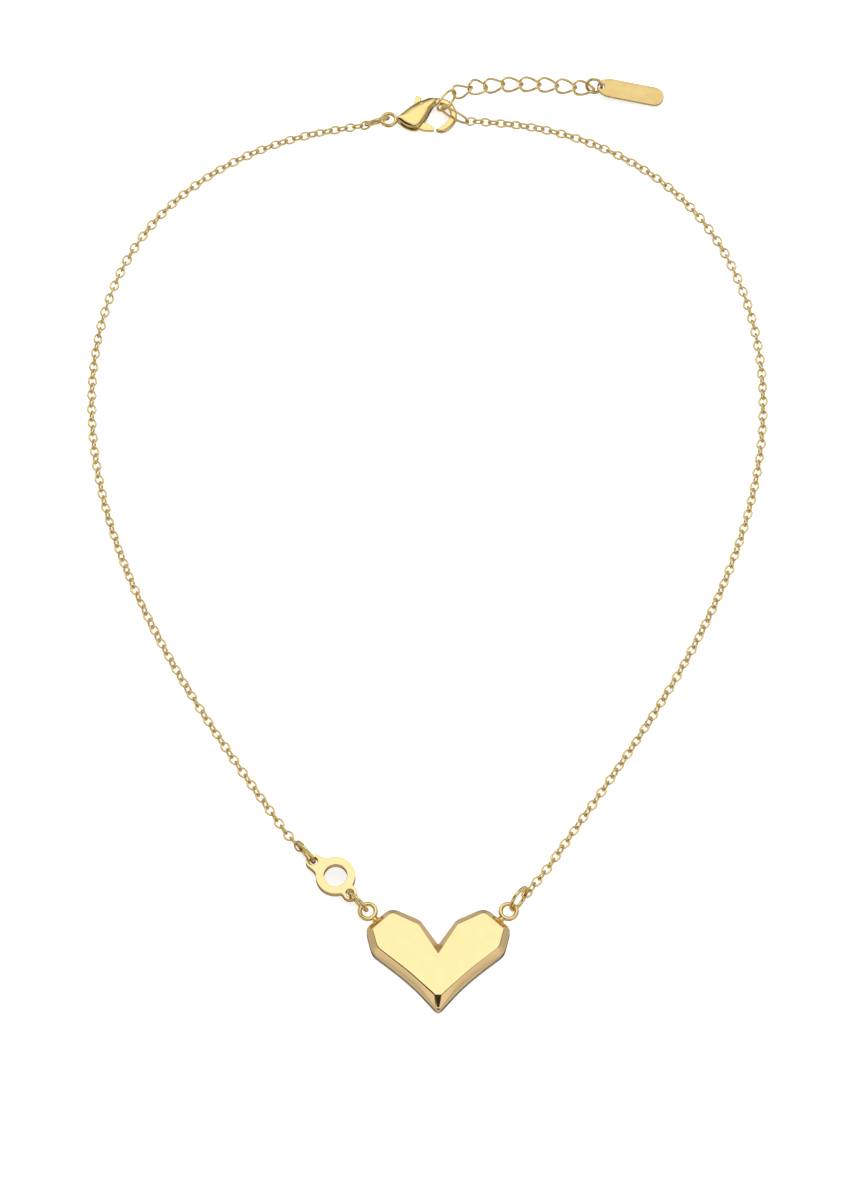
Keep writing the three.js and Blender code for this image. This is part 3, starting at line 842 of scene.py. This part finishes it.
loop_piece("end_ring", (2.7336, 142.5941, 1.6412), frame_leaning((0.8598, -0.5107), 1.8), 2.4475, 1.18, 0.2, "catch_ring", "catch_ring")
loop_piece("curb_1", (1.4217, 144.5756, 2.8948), frame_of_rotation(1.0631, 0.4606, 0.7945), 2.0861, 1.1801, 0.2, "link_1", "extender_link_1", taper=0.0183)
for i, c, turn in (
    (2, (3.9126, 146.5666, 2.6694), (-0.2017, 0.058, 0.4518)),
    (3, (6.3188, 147.8753, 1.6591), (0.267, 0.4405, 0.326)),
    (4, (9.0358, 148.5991, 0.9466), (0.0044, 0.0363, 0.2469)),
    (5, (11.92, 148.85, 0.76), (0, 0, 0.05)),
    (6, (14.79, 148.89, 0.72), (0, 0, -0.01)),
    (7, (17.66, 148.74, 0.72), (0, 0, -0.06)),
    (8, (20.52, 148.47, 0.72), (0, 0, -0.1)),
    (9, (23.37, 148.14, 0.74), (0, 0, -0.12)),
):
    loop_piece(f"curb_{i}", c, frame_of_rotation(*turn), CURB_A, CURB_B, CURB_R, f"link_{i}", f"extender_link_{i}", h=CURB_H)
loop_piece("tag_jump_ring", (24.99, 148.26, 1.28), frame_of([0.995, -0.1], 60), 1.2, 1.2, 0.24, "tag_ring", "tag_ring")


def tag():
    """Tag that leans on its ring at the left and touches the table at the right."""
    L, W, left, right = 10.8, 3.3, 2.3, 1.57
    pts = []
    for cx, r in ((L - right, right), (left, -left)):
        for a in np.linspace(-math.pi / 2, math.pi / 2, 40):
            pts.append([cx - L + r * math.cos(a), math.copysign(1, r) * W / 2 * math.sin(a)])
    o = plate("tag_plate", pts, [(0.75 - L, 0, 0.5)], 0, 0.45, 0.07)
    turn = Matrix.Rotation(math.atan2(-1.636, 9.854), 4, "Z") @ Matrix.Rotation(math.radians(5.5), 4, "Y")
    cut_edge_painted_shade(finish_piece(o, "tag", M_TAG, "mirror_gold", "tag"))
    o.data.transform(Matrix.Translation(Vector((36.05, 146.5, 0.03)) * MM) @ turn)
    return o


tag()

# ------------------------------------------------------------------- stage
floor_acc = Acc()
F = 3000.0
floor_acc.f.append(tuple(floor_acc.ring([[-F, -F, 0], [F, -F, 0], [F, F, 0], [-F, F, 0]])))
floor = floor_acc.obj("floor", smooth=False)
mat = bpy.data.materials.new("pale_floor")
mat.use_nodes = True
nt = mat.node_tree
bsdf = nt.nodes["Principled BSDF"]
bsdf.inputs["Roughness"].default_value = 0.6
bsdf.inputs["Specular IOR Level"].default_value = 0.25
bsdf.inputs["Base Color"].default_value = (0.97, 0.97, 0.97, 1)
bsdf.inputs["Emission Color"].default_value = (1, 1, 1, 1)
bsdf.inputs["Emission Strength"].default_value = 0.5
floor.data.materials.append(mat)
floor.visible_glossy = False



def wash(name, place, aim, width, power):
    """Soft panel that lights the floor and isn't mirrored in the metal."""
    d = bpy.data.lights.new(name, "AREA")
    d.shape = "SQUARE"
    d.size = width
    d.energy = power
    o = bpy.data.objects.new(name, d)
    scene.collection.objects.link(o)
    o.location = place
    o.rotation_euler = (Vector(aim) - Vector(place)).to_track_quat("-Z", "Y").to_euler()
    o.visible_glossy = False
    return o


for k in range(4):
    a = math.radians(45 + 90 * k)
    wash(f"wash_{k}", (1.5 * math.cos(a), 0.07 + 1.5 * math.sin(a), 0.9), (0, 0.07, 0), 1.2, 4.0)
world = bpy.data.worlds.new("studio")
scene.world = world
world.use_nodes = True
wn = world.node_tree
wn.nodes.clear()


def W(kind, **inputs):
    n = wn.nodes.new(kind)
    for k, v in inputs.items():
        n.inputs[int(k[1:]) if k[0] == "_" else k].default_value = v
    return n


def spot(direction, inner, outer):
    """1 inside a cone round a direction, falling smoothly to 0."""
    dot = wn.nodes.new("ShaderNodeVectorMath")
    dot.operation = "DOT_PRODUCT"
    dot.inputs[1].default_value = tuple(unit(direction))
    wn.links.new(coord.outputs["Generated"], dot.inputs[0])
    mr = wn.nodes.new("ShaderNodeMapRange")
    mr.interpolation_type = "SMOOTHSTEP"
    mr.inputs["From Min"].default_value = math.cos(math.radians(outer))
    mr.inputs["From Max"].default_value = math.cos(math.radians(inner))
    wn.links.new(dot.outputs["Value"], mr.inputs["Value"])
    return mr.outputs["Result"]


def math_node(op, a, b):
    n = wn.nodes.new("ShaderNodeMath")
    n.operation = op
    for i, v in enumerate((a, b)):
        if isinstance(v, (int, float)):
            n.inputs[i].default_value = v
        else:
            wn.links.new(v, n.inputs[i])
    return n.outputs[0]


coord = wn.nodes.new("ShaderNodeTexCoord")
sep = wn.nodes.new("ShaderNodeSeparateXYZ")
wn.links.new(coord.outputs["Generated"], sep.inputs[0])
rise = wn.nodes.new("ShaderNodeMapRange")
rise.inputs["From Min"].default_value = -1.0
rise.inputs["From Max"].default_value = 1.0
wn.links.new(sep.outputs["Z"], rise.inputs["Value"])
ramp = wn.nodes.new("ShaderNodeValToRGB")
ramp.color_ramp.interpolation = "B_SPLINE"
LEVELS = [(-1.0, 0.8), (-0.85, 0.8), (-0.5, 0.72), (-0.25, 0.66), (0.0, 0.58), (0.15, 0.6), (0.3, 0.86), (0.5, 1.0), (1.0, 1.0)]
el = ramp.color_ramp.elements
while len(el) < len(LEVELS):
    el.new(0.5)
for e, (z, v) in zip(el, LEVELS):
    e.position = (z + 1) / 2
for e, (z, v) in zip(el, LEVELS):
    e.color = (v, v, v, 1)
wn.links.new(rise.outputs["Result"], ramp.inputs[0])
level = ramp.outputs["Color"]
# big overhead softbox behind the pieces
level = math_node("ADD", level, math_node("MULTIPLY", spot((0, 0.42, 0.906), 14, 32), 0.5))
# the darkness under the table edge, which outlines every rounded piece
level = math_node("MULTIPLY", level, math_node("SUBTRACT", 1.0, math_node("MULTIPLY", spot((0, 0.42, -0.906), 16, 54), 0.9)))
# the dark camera, and a black flag over the left shoulder with a lighter one on the right
level = math_node("MULTIPLY", level, math_node("SUBTRACT", 1.0, math_node("MULTIPLY", spot((0, -0.42, 0.906), 9, 15), 0.97)))
level = math_node("MULTIPLY", level, math_node("SUBTRACT", 1.0, math_node("MULTIPLY", spot((-0.48, -0.2, 0.855), 17, 26), 0.98)))
level = math_node("MULTIPLY", level, math_node("SUBTRACT", 1.0, math_node("MULTIPLY", spot((0.47, -0.18, 0.865), 12, 21), 0.6)))
# strips of dark studio between the panels, which give the wire its contrast
for flag, inner, outer, depth in (
    ((0, -0.95, -0.1), 18, 44, 0.8), ((0, 0.95, 0.3), 10, 30, 0.75), ((0.8, 0.1, 0.6), 8, 25, 0.65), ((-0.8, 0.1, 0.6), 8, 25, 0.65),
):
    level = math_node("MULTIPLY", level, math_node("SUBTRACT", 1.0, math_node("MULTIPLY", spot(flag, inner, outer), depth)))
bg = wn.nodes.new("ShaderNodeBackground")
bg.inputs["Color"].default_value = (1, 1, 1, 1)
wn.links.new(level, bg.inputs["Strength"])
wo = wn.nodes.new("ShaderNodeOutputWorld")
wn.links.new(bg.outputs[0], wo.inputs["Surface"])
